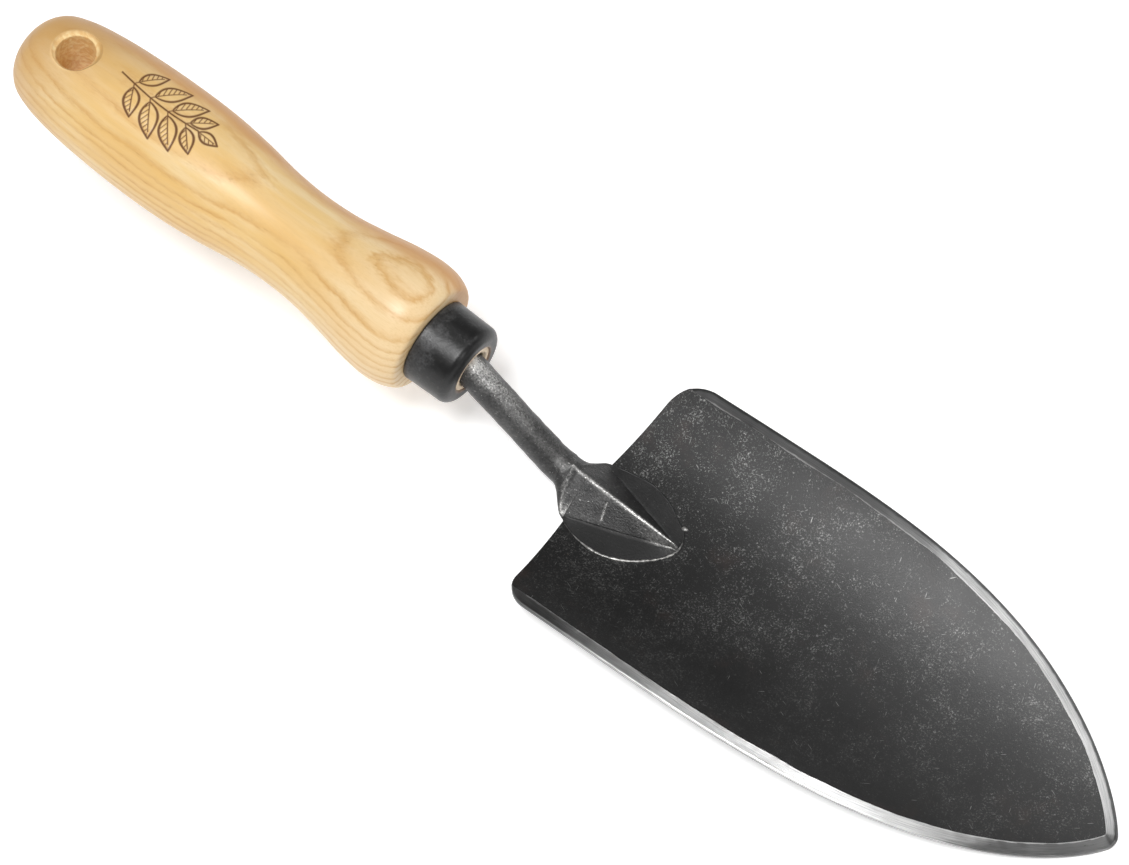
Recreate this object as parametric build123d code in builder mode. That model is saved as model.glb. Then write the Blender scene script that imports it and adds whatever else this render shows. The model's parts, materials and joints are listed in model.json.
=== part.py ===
from build123d import *

import os
from math import cos, radians, sin, sqrt, tan

# Hand trowel: a dished steel blade welded to a cranked forging, whose tang is driven into a
# turned ash handle behind a pressed steel ferrule.
#
# Frame, in millimetres: +X runs from the butt of the handle to the point of the blade and
# +Z is up. The trowel lies on its back, the underside of the blade on the plane Z = 0 and
# the hollow side up. The origin is under the middle of the whole trowel, on that plane.

# ---------------------------------------------------------------- driving dimensions
heel_x = 12.47            # back edge of the blade, measured from the origin

plate = 2.0               # blade thickness
dish_radius = 72.0        # hollow face of the blade, an arc across its width
blade_length = 150.6      # back edge to point
blade_width = 73.6        # widest, across the sides
widest_x = 27.0           # where the sides stop widening, ahead of the back edge
side_power = 3.2          # how late the sides turn in towards the point
point_power = 0.8         # how sharp the point is
point_slope = (0.4, -1.0)    # heading of the edge as it reaches the point
corner_radius = 9.5       # back corners
back_sweep = 3.4          # how far the corners stand ahead of the middle of the back edge
bevel_face = 2.9          # ground edge, measured on the hollow face
bevel_depth = 1.3         # ground edge, measured through the plate

handle_pitch = 7.8        # degrees that the handle rises towards its butt
shoulder_back = 46.4      # shoulder of the handle, behind the back edge of the blade
shoulder_height = 25.9    # axis of the handle at its shoulder, above the hollow face
handle_length = 129.5     # shoulder to butt
shoulder_radius = 13.6    # flat end of the handle that the ferrule meets
handle_profile = (        # turned outline from there: behind the shoulder, radius
    (1.4, 15.2),
    (4.2, 16.3),
    (8.6, 16.8),
    (15.6, 16.2),
    (24.0, 14.7),
    (33.0, 13.35),
    (43.0, 12.9),
    (52.4, 13.45),
    (62.6, 14.9),
    (74.0, 15.95),
    (87.0, 16.25),
    (98.4, 15.95),
    (110.4, 15.1),
    (119.6, 13.6),
    (125.2, 11.4),
    (128.7, 7.4),
)
tenon_root = 1.0          # how far the tenon's solid starts inside the handle
hole_diameter = 10.0      # hanging hole
hole_from_butt = 16.2
countersink_from = 13.0   # each mouth of the hole opens out from here, off the handle's axis
countersink_depth = 3.0

ferrule_length = 12.9
ferrule_rear_radius = 11.1
ferrule_front_radius = 10.75
ferrule_wall = 1.5
ferrule_mouth_radius = 6.1
ferrule_rim = 2.6         # rounding of the front rim

rod_radius = 4.2
rod_clear = 0.3              # level run of the rod, above the plane of the blade's face
crank_from_shoulder = 10.9   # where the rod turns down, ahead of the shoulder
crank_pitch = 37.0           # degrees that the rod falls towards the blade
crank_bend = 12.0
heel_bend = 8.0
tang_depth = 78.0            # tang inside the handle, behind the shoulder
tang_end_radius = 1.6

head_half_width = 9.1     # pyramid, across its rear corners
head_height = 7.4         # rear end of the crest, above the hollow face
head_side_height = 2.2    # rear corners of the pyramid, above the hollow face at its middle
head_sunk = 0.6           # how far the head runs below that face before it is cut to the dish
flare_length = 5.6        # rod to pyramid
head_length = 24.8        # back edge of the blade to the front end of the crest
crest_end_height = 2.6
crest_end_half_width = 0.5
pad_half_width = 11.0
pad_widest_x = 9.0
pad_length = 25.8
pad_rear_slope = (1, 0.45)    # heading of the leaf's outline where it leaves the back edge
pad_point_slope = (0.35, -1)  # and where it reaches the point
pad_thick = 1.3

bead_width = 1.1          # weld run round the pad
bead_height = 0.8
spatter_radius = 1.0
spatter_x = 23.9          # drop of spatter, ahead of the back edge
spatter_y = 6.9
spatter_lift = 0.2        # centre of the drop, above the hollow face

# ---------------------------------------------------------------- derived frame
floor_to_face = plate
dish_axis_z = floor_to_face + dish_radius
pitch = radians(handle_pitch)
forward = Vector(cos(pitch), 0, -sin(pitch))
upward = Vector(sin(pitch), 0, cos(pitch))
shoulder = Vector(heel_x - shoulder_back, 0, floor_to_face + shoulder_height)
handle_axis = Axis(shoulder, forward)
side_plane = Plane(origin=shoulder, x_dir=forward, z_dir=(0, -1, 0))
tall = 60.0               # longer than anything that a cutter passes through


def along_handle(distance):
    """A point on the axis of the handle, ahead of its shoulder by distance."""
    return shoulder + forward * distance


def blade_half_width(x):
    """Half the width of the blade at x ahead of its back edge."""
    if x <= widest_x:
        return blade_width / 2
    share = (x - widest_x) / (blade_length - widest_x)
    return blade_width / 2 * (1 - share**side_power) ** point_power


def face_height(y):
    """Height of the hollow face above the floor, y off the middle line."""
    return dish_axis_z - sqrt(dish_radius**2 - y**2)


def inside_dish(radius):
    """A long solid cylinder of that radius about the axis of the dish."""
    return Cylinder(radius, 4 * blade_length, rotation=(0, 90, 0), mode=Mode.PRIVATE).moved(
        Location((heel_x, 0, dish_axis_z))
    )


def leaf(grow):
    """Plan outline of the pad on the head, grown outwards by that much."""
    half = pad_half_width + grow
    with BuildSketch(Plane.XY) as outline:
        with BuildLine():
            Polyline((heel_x - grow, 0), (heel_x - grow, head_half_width + grow))
            Spline(
                (heel_x - grow, head_half_width + grow),
                (heel_x + pad_widest_x, half),
                (heel_x + pad_length + grow, 0),
                tangents=(pad_rear_slope, pad_point_slope),
            )
            mirror(about=Plane.XZ)
        make_face()
    return outline.sketch


def rod_outline(x, centre_z):
    """Round section of the rod at x, its rim in five arcs to match the ridge's five sides."""
    angles = (225, 170, 90, 10, -45, -135)
    rim = [(rod_radius * cos(radians(a)), centre_z + rod_radius * sin(radians(a))) for a in angles]
    with BuildSketch(Plane.YZ.offset(x)) as outline:
        with BuildLine():
            for start, end in zip(rim, rim[1:]):
                RadiusArc(start, end, rod_radius)
        make_face()
    return outline.sketch


def ridge_outline(x, half, side_height, crest_height):
    """Section of the head at x: upright sides and a roof, standing on the hollow face."""
    with BuildSketch(Plane.YZ.offset(x)) as outline:
        with BuildLine():
            Polyline(
                (-half, floor_to_face - head_sunk),
                (-half, floor_to_face + side_height),
                (0, floor_to_face + crest_height),
                (half, floor_to_face + side_height),
                (half, floor_to_face - head_sunk),
                close=True,
            )
        make_face()
    return outline.sketch


# ---------------------------------------------------------------- blade
taper_length = blade_length - widest_x
stations = [widest_x + taper_length * share for share in (0.3, 0.5, 0.64, 0.76, 0.86, 0.94, 0.985)]

with BuildPart() as blade:
    # a bent plate with square rear corners, cut to the sides' outline
    with BuildSketch(Plane.XY):
        with BuildLine():
            half = blade_width / 2
            rear = Polyline(
                (heel_x - corner_radius, 0), (heel_x - corner_radius, half), (heel_x + widest_x, half)
            )
            Spline(
                rear @ 1,
                *[(heel_x + x, blade_half_width(x)) for x in stations],
                (heel_x + blade_length, 0),
                tangents=((1, 0), point_slope),
                tangent_scalars=(1, 0.4),
            )
            mirror(about=Plane.XZ)
        make_face()
    extrude(amount=tall)
    add(inside_dish(dish_radius + plate), mode=Mode.INTERSECT)
    add(inside_dish(dish_radius), mode=Mode.SUBTRACT)

    # ground edge along both sides, then the back edge and its rounded corners
    hollow_face = blade.faces().sort_by(SortBy.AREA)[-2:].sort_by(Axis.Z)[-1]
    ground_edges = [edge for edge in hollow_face.edges() if edge.center().X > heel_x]
    chamfer(ground_edges, bevel_face, bevel_depth, reference=hollow_face)
    with BuildSketch(Plane.XY):
        with BuildLine():
            FilletPolyline(
                (heel_x, 0),
                (heel_x, head_half_width),
                (heel_x + back_sweep, half),
                (heel_x + blade_length, half),
                radius=[corner_radius, corner_radius],
            )
            Line((heel_x + blade_length, half), (heel_x + blade_length, 0))
            mirror(about=Plane.XZ)
        make_face()
    extrude(amount=tall, mode=Mode.INTERSECT)

blade.part.label = "blade"

# ---------------------------------------------------------------- forging
with BuildPart() as forging:
    # tang: a round taper along the axis of the handle
    with BuildSketch(side_plane):
        with BuildLine():
            Polyline(
                (-tang_depth, 0),
                (0, 0),
                (0, rod_radius),
                (-tang_depth, tang_end_radius),
                close=True,
            )
        make_face()
    revolve(axis=handle_axis)

    # rod: straight out of the handle, cranked down, then level along the blade
    turn = along_handle(crank_from_shoulder)
    level_z = floor_to_face + rod_clear + rod_radius
    run = (turn.Z - level_z) / tan(radians(crank_pitch))
    with BuildLine() as spine:
        FilletPolyline(
            shoulder,
            turn,
            (turn.X + run, 0, level_z),
            (heel_x - flare_length, 0, level_z),
            radius=[crank_bend, heel_bend],
        )
    with BuildSketch(Plane(origin=shoulder, z_dir=forward)):
        Circle(rod_radius)
    sweep(path=spine.line)

    # head: the rod flares into a low pyramid with a ridge
    rod_end = rod_outline(heel_x - flare_length, level_z)
    ridge_rear = ridge_outline(heel_x, head_half_width, head_side_height, head_height)
    front_x = heel_x + head_length
    ridge_front = ridge_outline(front_x, crest_end_half_width, pad_thick, crest_end_height)
    loft(sections=[rod_end, ridge_rear], ruled=True)
    loft(sections=[ridge_rear, ridge_front], ruled=True)

    # pad: a thin leaf that lies on the hollow face under the pyramid
    pad = extrude(leaf(0), amount=tall, mode=Mode.PRIVATE)
    add(pad - inside_dish(dish_radius - pad_thick))
    add(inside_dish(dish_radius), mode=Mode.INTERSECT)

forging.part.label = "forging"

# ---------------------------------------------------------------- weld bead
with BuildPart() as weld_bead:
    extrude(leaf(bead_width) - leaf(0), amount=tall)
    add(inside_dish(dish_radius), mode=Mode.INTERSECT)
    add(inside_dish(dish_radius - bead_height), mode=Mode.SUBTRACT)
    split(bisect_by=Plane.YZ.offset(heel_x), keep=Keep.TOP)
    spatter_z = face_height(spatter_y) + spatter_lift
    spatter_place = Location((heel_x + spatter_x, spatter_y, spatter_z))
    spatter = Sphere(spatter_radius, mode=Mode.PRIVATE).moved(spatter_place)
    add(spatter.intersect(inside_dish(dish_radius)) - forging.part)

weld_bead.part.label = "weld_bead"

# ---------------------------------------------------------------- ferrule
with BuildPart() as ferrule:
    with BuildSketch(side_plane):
        with BuildLine():
            Polyline(
                (0, ferrule_rear_radius - ferrule_wall),
                (0, ferrule_rear_radius),
                (ferrule_length, ferrule_front_radius),
                (ferrule_length, ferrule_mouth_radius),
                (ferrule_length - ferrule_wall, ferrule_mouth_radius),
                (ferrule_length - ferrule_wall, ferrule_front_radius - ferrule_wall),
                close=True,
            )
        make_face()
    revolve(axis=handle_axis)
    rims = ferrule.edges().filter_by(GeomType.CIRCLE)
    front_edge = rims.sort_by(lambda edge: (edge.center() - shoulder).dot(forward) + edge.radius)[-1]
    fillet(front_edge, ferrule_rim)

ferrule.part.label = "ferrule"

# ---------------------------------------------------------------- handle
with BuildPart() as handle:
    with BuildSketch(side_plane):
        with BuildLine():
            Polyline((-handle_length, 0), (0, 0), (0, shoulder_radius))
            Spline(
                (0, shoulder_radius),
                *[(-behind, radius) for behind, radius in handle_profile],
                (-handle_length, 0),
            )
        make_face()
    revolve(axis=handle_axis)
    with BuildSketch(side_plane):
        with BuildLine():
            Polyline(
                (-tenon_root, 0),
                (-tenon_root, ferrule_rear_radius - ferrule_wall),
                (0, ferrule_rear_radius - ferrule_wall),
                (ferrule_length - ferrule_wall, ferrule_front_radius - ferrule_wall),
                (ferrule_length - ferrule_wall, 0),
                close=True,
            )
        make_face()
    revolve(axis=handle_axis)
    hole_centre = along_handle(hole_from_butt - handle_length)
    with BuildSketch(Plane(origin=hole_centre, z_dir=upward)):
        Circle(hole_diameter / 2)
    extrude(amount=tall / 2, both=True, mode=Mode.SUBTRACT)
    for outward in (upward, -upward):
        with BuildSketch(Plane(origin=hole_centre + outward * countersink_from, z_dir=outward)):
            Circle(hole_diameter / 2)
        extrude(amount=countersink_depth, taper=-45, mode=Mode.SUBTRACT)
    add(forging.part, mode=Mode.SUBTRACT)

handle.part.label = "handle"

# ---------------------------------------------------------------- one STEP per piece
os.makedirs("parts", exist_ok=True)
for piece in (blade, forging, weld_bead, ferrule, handle):
    export_step(piece.part, f"parts/{piece.part.label}.step")
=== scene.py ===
import json
import math

import bmesh
import bpy
import numpy as np
from mathutils import Matrix, Vector


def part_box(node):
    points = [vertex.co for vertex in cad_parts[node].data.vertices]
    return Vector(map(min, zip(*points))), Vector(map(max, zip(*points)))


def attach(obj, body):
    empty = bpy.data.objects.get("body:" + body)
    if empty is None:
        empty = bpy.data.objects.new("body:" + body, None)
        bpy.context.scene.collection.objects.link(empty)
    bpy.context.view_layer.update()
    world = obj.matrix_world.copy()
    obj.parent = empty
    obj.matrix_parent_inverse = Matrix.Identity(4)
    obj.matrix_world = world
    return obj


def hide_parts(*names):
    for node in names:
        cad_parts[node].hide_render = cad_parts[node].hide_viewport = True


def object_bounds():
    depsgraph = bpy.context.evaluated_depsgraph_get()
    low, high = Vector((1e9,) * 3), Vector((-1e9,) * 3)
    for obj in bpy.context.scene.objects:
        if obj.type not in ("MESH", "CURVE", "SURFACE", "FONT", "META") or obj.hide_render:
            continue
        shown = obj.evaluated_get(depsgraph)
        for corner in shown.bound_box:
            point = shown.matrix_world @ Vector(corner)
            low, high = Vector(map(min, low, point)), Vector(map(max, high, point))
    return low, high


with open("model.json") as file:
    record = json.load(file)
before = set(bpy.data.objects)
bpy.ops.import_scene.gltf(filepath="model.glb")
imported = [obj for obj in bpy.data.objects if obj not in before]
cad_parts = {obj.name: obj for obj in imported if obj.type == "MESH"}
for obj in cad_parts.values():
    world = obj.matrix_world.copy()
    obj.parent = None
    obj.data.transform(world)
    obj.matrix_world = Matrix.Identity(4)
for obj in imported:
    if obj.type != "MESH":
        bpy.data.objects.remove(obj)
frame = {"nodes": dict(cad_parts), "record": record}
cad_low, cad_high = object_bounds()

# The hand trowel's looks. Shapes are worked out in millimetres, in the frame's own axes, and
# turned into metres as each mesh is made. Every piece rides on the one rigid body.

MM = 0.001

# -------- places, from the frame
blade_low, blade_high = (np.array(corner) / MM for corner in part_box("blade"))
heel_x, point_x = blade_low[0], blade_high[0]
half_width = blade_high[1]

hole_mount = frame["record"]["mounts"][0]
hole_centre = np.array(hole_mount["pos_m"]) / MM
upward = np.array(hole_mount["axis"])
upward /= np.linalg.norm(upward)
side = np.array([0.0, 1.0, 0.0])
forward = np.cross(side, upward)
pitch = math.atan2(upward[0], upward[2])


def reach_along_handle(node):
    """Where a node starts and ends along the handle's axis, from the hanging hole's centre."""
    corners = np.array([vertex.co for vertex in frame["nodes"][node].data.vertices]) / MM
    along = (corners - hole_centre) @ forward
    return along.min(), along.max()


shoulder_from_hole, ferrule_front = reach_along_handle("ferrule")
ferrule_length = ferrule_front - shoulder_from_hole
handle_length = shoulder_from_hole - reach_along_handle("handle")[0]
shoulder = hole_centre + shoulder_from_hole * forward

# -------- sizes, in millimetres
# Pairs with keys 1 and -1 are for the +Y and the -Y half, which the photograph shows unequal.
plate = 2.0  # blade thickness
dish_radius = 72.0  # hollow face, across the blade
dish_axis_z = plate + dish_radius
widest = 27.0  # sides stop widening this far ahead of the back edge
side_power, point_power = 3.2, 0.8
blunting = 1.1  # the sides give way to the point's arc this far behind the point
corner_radii = {1: 9.5, -1: 7.0}
back_flat = 9.1  # half of the straight middle of the back edge
back_sweep = 3.4  # how far the corners stand ahead of that middle
bevel_width = 2.9
bevel_depth = 1.3
rim_round = 0.5  # outer rim of the ground edge
under_round = 0.3
spine_start = 12.0  # the blade's rings shrink to a middle line that starts here
face_spine_short = 1.5  # and ends this far behind the inner line of the ground edge
under_spine_short = 14.0  # or, under the blade, this far behind the point

turned_outline = (  # handle: behind the shoulder, radius
    (0.0, 13.6), (0.25, 14.35), (1.4, 15.2), (4.2, 16.3), (8.6, 16.8), (15.6, 16.2),
    (24.0, 14.7), (33.0, 13.35), (43.0, 12.9), (52.4, 13.45), (62.6, 14.9), (74.0, 15.95),
    (87.0, 16.25), (98.4, 15.95), (110.4, 15.1), (119.6, 13.6), (125.2, 11.4),
    (128.5, 7.4), (handle_length, 0.0),
)
hole_radius = hole_mount["dims"]["r_mm"]
hole_easing = 1.55  # how much wider the hole is at its mouths

mark_behind = 84.0  # centre of the burnt mark, behind the shoulder
mark_turn = math.radians(-6.5)
mark_half_length, mark_half_width = 16.5, 11.0
mark_radius = 16.0  # of the handle, about there
mark_step = 0.19  # between points of the skin that carries the mark
char_depth = 0.12
char_line = 0.27  # half width of a burnt line

ferrule_rear_radius, ferrule_front_radius = 11.1, 10.75
ferrule_wall = 1.5
ferrule_lip = 0.9  # metal round the mouth
ferrule_rim = 2.6
ferrule_mouth = 6.4

rod_radius = 4.2
tang_depth = 78.0
tang_end_radius = 1.6
crank_from_shoulder = 10.9
crank_pitch = math.radians(37.0)
crank_bends = (12.0, 8.0)
rod_level = plate + 0.3 + rod_radius

flare_length = 6.4  # rod to ridge
flare_widths = {  # rod widening into the ridge: ahead of the back edge, half width
    1: [(-12, 4.2), (-6, 4.3), (-4.6, 4.7), (-3.6, 5.4), (-2.2, 6.7), (-1.0, 8.1), (0, 9.0)],
    -1: [(-12, 4.2), (-9.0, 4.3), (-7.4, 4.6), (-6.2, 5.1), (-4.9, 6.1), (-3.8, 7.3), (-2.9, 8.3),
         (-1.5, 9.5), (0, 10.1)],
}
ridge_length = 26.0
ridge_height = 7.4
ridge_end_height = 2.6
ridge_feet = {1: 8.0, -1: 9.5}  # half widths of the ridge at its rear
ridge_end_foot = 0.5  # and at its front
ridge_nose = 1.2  # fall of its crest beyond its front, for each mm
crest_round = 0.4
pad_edges = {  # pad's outline: ahead of the back edge, out from the middle
    1: [(0, 9.0), (2.4, 9.3), (6.2, 9.8), (12, 10.3), (17.8, 8.8), (22.4, 6.3), (24.9, 4.9),
        (26.3, 3.1), (26.9, 1.4), (27.0, 0)],
    -1: [(0, 10.1), (4.1, 11.7), (8.4, 12.4), (13.2, 12.2), (17, 10.9), (20.8, 8.5), (24.2, 5.2),
         (26.2, 2.4), (26.8, 1.0), (27.0, 0)],
}
pad_length = 27.0
pad_thick = 1.2
pad_lip = 0.35  # its thickness at its outline
nick_start, nick_end = np.array([7.3, -1.9]), np.array([8.1, -5.2])  # ahead, out
nick_half_width, nick_depth = 0.38, 0.28

bead_half = 0.36  # weld bead, half of its thickness
drop_ahead, drop_out = 25.1, 5.55  # the drop of spatter
drop_half = 0.72


# -------- mesh tools
def ripple(points, size, seed):
    """Gentle waves about `size` apart, from about -1 to 1, at points (..., 3)."""
    waves = np.random.default_rng(seed)
    directions = waves.normal(size=(16, 3))
    directions /= np.linalg.norm(directions, axis=1)[:, None]
    lengths = size * waves.uniform(0.7, 1.7, 16)
    phases = waves.uniform(0, 2 * math.pi, 16)
    return np.sin(points @ (directions * 2 * math.pi / lengths[:, None]).T + phases).sum(-1) / 6.5


def ripple_along(run, size, seed):
    """The same waves at distances along a path."""
    return ripple(np.stack([run, run * 0, run * 0], 1), size, seed)


def rounded_path(corners, radii, step=0.15):
    """A path in a plane through corners, with an arc of each radius at each inner corner."""
    corners = [np.array(corner, float) for corner in corners]
    points = [corners[0]]
    for before, corner, after, radius in zip(corners, corners[1:], corners[2:], radii):
        come = (corner - before) / np.linalg.norm(corner - before)
        go = (after - corner) / np.linalg.norm(after - corner)
        turn = math.atan2(come[0] * go[1] - come[1] * go[0], come @ go)
        start = corner - come * radius * abs(math.tan(turn / 2))
        inward = math.copysign(radius, turn) * np.array([-come[1], come[0]])
        steps = max(4, int(abs(turn) * radius / step))
        for angle in np.linspace(0, turn, steps + 1):
            c, s = math.cos(angle), math.sin(angle)
            spoke = np.array([-inward[0] * c + inward[1] * s, -inward[0] * s - inward[1] * c])
            points.append(start + inward + spoke)
    points.append(corners[-1])
    return np.array(points)


def run_length(path):
    """How far along a path each of its points is."""
    return np.concatenate([[0], np.cumsum(np.linalg.norm(np.diff(path, axis=0), axis=1))])


def resampled(path, at):
    """Points of a path at distances `at` along it."""
    run = run_length(path)
    return np.stack([np.interp(at, run, path[:, k]) for k in range(path.shape[1])], 1)


def tangents_of(path):
    tangents = np.gradient(path, axis=0)
    return tangents / np.linalg.norm(tangents, axis=1)[:, None]


def flowing(corners, step=0.25):
    """A smooth curve through points of a plane, by the centripetal Catmull-Rom rule."""
    p = np.array(corners, float)
    p = np.vstack([2 * p[0] - p[1], p, 2 * p[-1] - p[-2]])
    out = [p[1]]
    for p0, p1, p2, p3 in zip(p, p[1:], p[2:], p[3:]):
        knots = [0.0]
        for start, end in ((p0, p1), (p1, p2), (p2, p3)):
            knots.append(knots[-1] + np.linalg.norm(end - start) ** 0.5)
        count = max(2, int(np.linalg.norm(p2 - p1) / step))
        for t in np.linspace(knots[1], knots[2], count + 1)[1:]:
            stage = [p0, p1, p2, p3]
            for starts, ends in (((0, 1, 2), (1, 2, 3)), ((0, 1), (2, 3)), ((1,), (2,))):
                stage = [
                    a + (b - a) * (t - knots[i]) / (knots[j] - knots[i])
                    for a, b, i, j in zip(stage, stage[1:], starts, ends)
                ]
            out += stage
    return np.array(out)


def skin(name, points, ring=True, values=None, slots=None, sharp=40.0):
    """A mesh over a grid of points (rows, columns, 3), closed round its columns if it's a ring.

    values are named numbers for each point, and slots a material number for each face."""
    rows, columns = points.shape[:2]
    here = np.arange(rows - 1)[:, None] * columns
    left = np.arange(columns if ring else columns - 1)[None]
    there, right = here + columns, (left + 1) % columns
    faces = np.stack([here + left, here + right, there + right, there + left], -1)
    mesh = bpy.data.meshes.new(name)
    mesh.from_pydata((points.reshape(-1, 3) * MM).tolist(), [], faces.reshape(-1, 4).tolist())
    for key, numbers in (values or {}).items():
        layer = mesh.attributes.new(key, "FLOAT", "POINT")
        layer.data.foreach_set("value", np.asarray(numbers, np.float32).ravel())
    if slots is not None:
        mesh.polygons.foreach_set("material_index", np.asarray(slots, np.int32).ravel())
    work = bmesh.new()
    work.from_mesh(mesh)
    bmesh.ops.remove_doubles(work, verts=work.verts, dist=2e-6)
    bmesh.ops.dissolve_degenerate(work, edges=work.edges, dist=1e-7)
    bmesh.ops.recalc_face_normals(work, faces=work.faces)
    if work.calc_volume(signed=True) < 0:
        bmesh.ops.reverse_faces(work, faces=work.faces)
    work.to_mesh(mesh)
    work.free()
    mesh.shade_smooth()
    mesh.set_sharp_from_angle(angle=math.radians(sharp))
    piece = bpy.data.objects.new(name, mesh)
    bpy.context.scene.collection.objects.link(piece)
    return piece


def cap_ends(piece):
    """Closes the open ends of a swept mesh."""
    work = bmesh.new()
    work.from_mesh(piece.data)
    open_edges = [edge for edge in work.edges if edge.is_boundary]
    bmesh.ops.holes_fill(work, edges=open_edges, sides=0)
    bmesh.ops.recalc_face_normals(work, faces=work.faces)
    work.to_mesh(piece.data)
    work.free()


def turned(outline, angles, centre, axis, up):
    """Points of an outline (along, radius) turned about an axis; angle 0 is towards `up`."""
    spokes = np.cos(angles)[:, None] * up + np.sin(angles)[:, None] * np.cross(axis, up)
    return centre + outline[:, None, :1] * axis + outline[:, None, 1:] * spokes[None]


def full_turn(count):
    return np.linspace(0, 2 * math.pi, count, endpoint=False)


def place(piece, node, slot, *materials):
    """The piece wears its materials, rides on the body and replaces its CAD node, if any."""
    for material in materials:
        piece.data.materials.append(material)
    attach(piece, "root")
    if node:
        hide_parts(node)


# -------- material tools
def smooth_step(nodes, low, high, to_low, to_high):
    """A node that goes smoothly from to_low to to_high as its value goes from low to high."""
    node = nodes.new("ShaderNodeMapRange")
    node.interpolation_type = "SMOOTHSTEP"
    limits = {"From Min": low, "From Max": high, "To Min": to_low, "To Max": to_high}
    for name, number in limits.items():
        node.inputs[name].default_value = number
    return node


class Wiring:
    """Shader nodes of one material. An input is a plain value or another node's output."""

    def __init__(self, name):
        self.material = bpy.data.materials.new(name)
        self.material.use_nodes = True
        self.nodes = self.material.node_tree.nodes
        self.links = self.material.node_tree.links
        self.nodes.clear()
        self.shader = self.node("BsdfPrincipled")
        self.node("OutputMaterial", Surface=self.shader.outputs[0])
        self.place = self.node("TexCoord").outputs["Object"]

    def feed(self, socket, value):
        if isinstance(value, bpy.types.NodeSocket):
            self.links.new(value, socket)
        elif isinstance(value, tuple) and len(value) == 3 and len(socket.default_value) == 4:
            socket.default_value = (*value, 1)
        else:
            socket.default_value = value

    def shade(self, **inputs):
        for name, value in inputs.items():
            self.feed(self.shader.inputs[name.replace("_", " ")], value)

    def node(self, kind, **inputs):
        node = self.nodes.new("ShaderNode" + kind)
        for name, value in inputs.items():
            self.feed(node.inputs[name], value)
        return node

    def math(self, operation, *inputs):
        node = self.node("Math")
        node.operation = operation
        for socket, value in zip(node.inputs, inputs):
            self.feed(socket, value)
        return node.outputs[0]

    def add(self, *terms):
        total = terms[0]
        for term in terms[1:]:
            total = self.math("ADD", total, term)
        return total

    def times(self, *factors):
        total = factors[0]
        for factor in factors[1:]:
            total = self.math("MULTIPLY", total, factor)
        return total

    def step(self, value, low, high, to_low=0.0, to_high=1.0):
        node = smooth_step(self.nodes, low, high, to_low, to_high)
        self.feed(node.inputs["Value"], value)
        return node.outputs[0]

    def mapped(self, vector, scale=(1, 1, 1), rotation=(0, 0, 0), shift=(0, 0, 0)):
        """A vector scaled, then rotated, then shifted."""
        values = {"Scale": scale, "Rotation": rotation, "Location": shift}
        return self.node("Mapping", Vector=vector, **values).outputs[0]

    def millimetres(self):
        """The place on the piece, in the frame's axes."""
        return self.mapped(self.place, (1 / MM,) * 3)

    def noise(self, vector, scale=1.0, detail=2.0, roughness=0.5, shift=(0, 0, 0)):
        """Noise from about 0 to 1. The scale is one number, or one for each axis."""
        scales = scale if isinstance(scale, tuple) else (scale,) * 3
        values = {"Scale": 1.0, "Detail": detail, "Roughness": roughness}
        place = self.mapped(vector, scales, shift=shift)
        return self.node("TexNoise", Vector=place, **values).outputs["Fac"]

    def parts(self, vector):
        return tuple(self.node("SeparateXYZ", Vector=vector).outputs)

    def joined(self, x, y, z):
        return self.node("CombineXYZ", X=x, Y=y, Z=z).outputs[0]

    def ramp(self, value, *stops):
        """Numbers at stops (place, number), and straight lines between them."""
        node = self.node("ValToRGB", Fac=value)
        elements = node.color_ramp.elements
        while len(elements) < len(stops):
            elements.new(0.5)
        for element, (where, number) in zip(elements, stops):
            element.position = where
            element.color = (number, number, number, 1)
        return node.outputs[0]

    def mix(self, share, first, second):
        node = self.node("Mix")
        node.data_type = "RGBA"
        self.feed(node.inputs[0], share)
        self.feed(node.inputs[6], first)
        self.feed(node.inputs[7], second)
        return node.outputs[2]

    def layered(self, tone, *layers):
        """A tone with layers (share, colour) laid over it in turn."""
        for share, colour in layers:
            tone = self.mix(share, tone, colour)
        return tone

    def named(self, attribute):
        node = self.node("Attribute")
        node.attribute_name = attribute
        return node.outputs["Fac"]

    def bump(self, height, depth, strength):
        """Height from 0 to 1 stands for `depth` millimetres."""
        return self.node("Bump", Height=height, Distance=depth * MM, Strength=strength).outputs[0]


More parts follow.
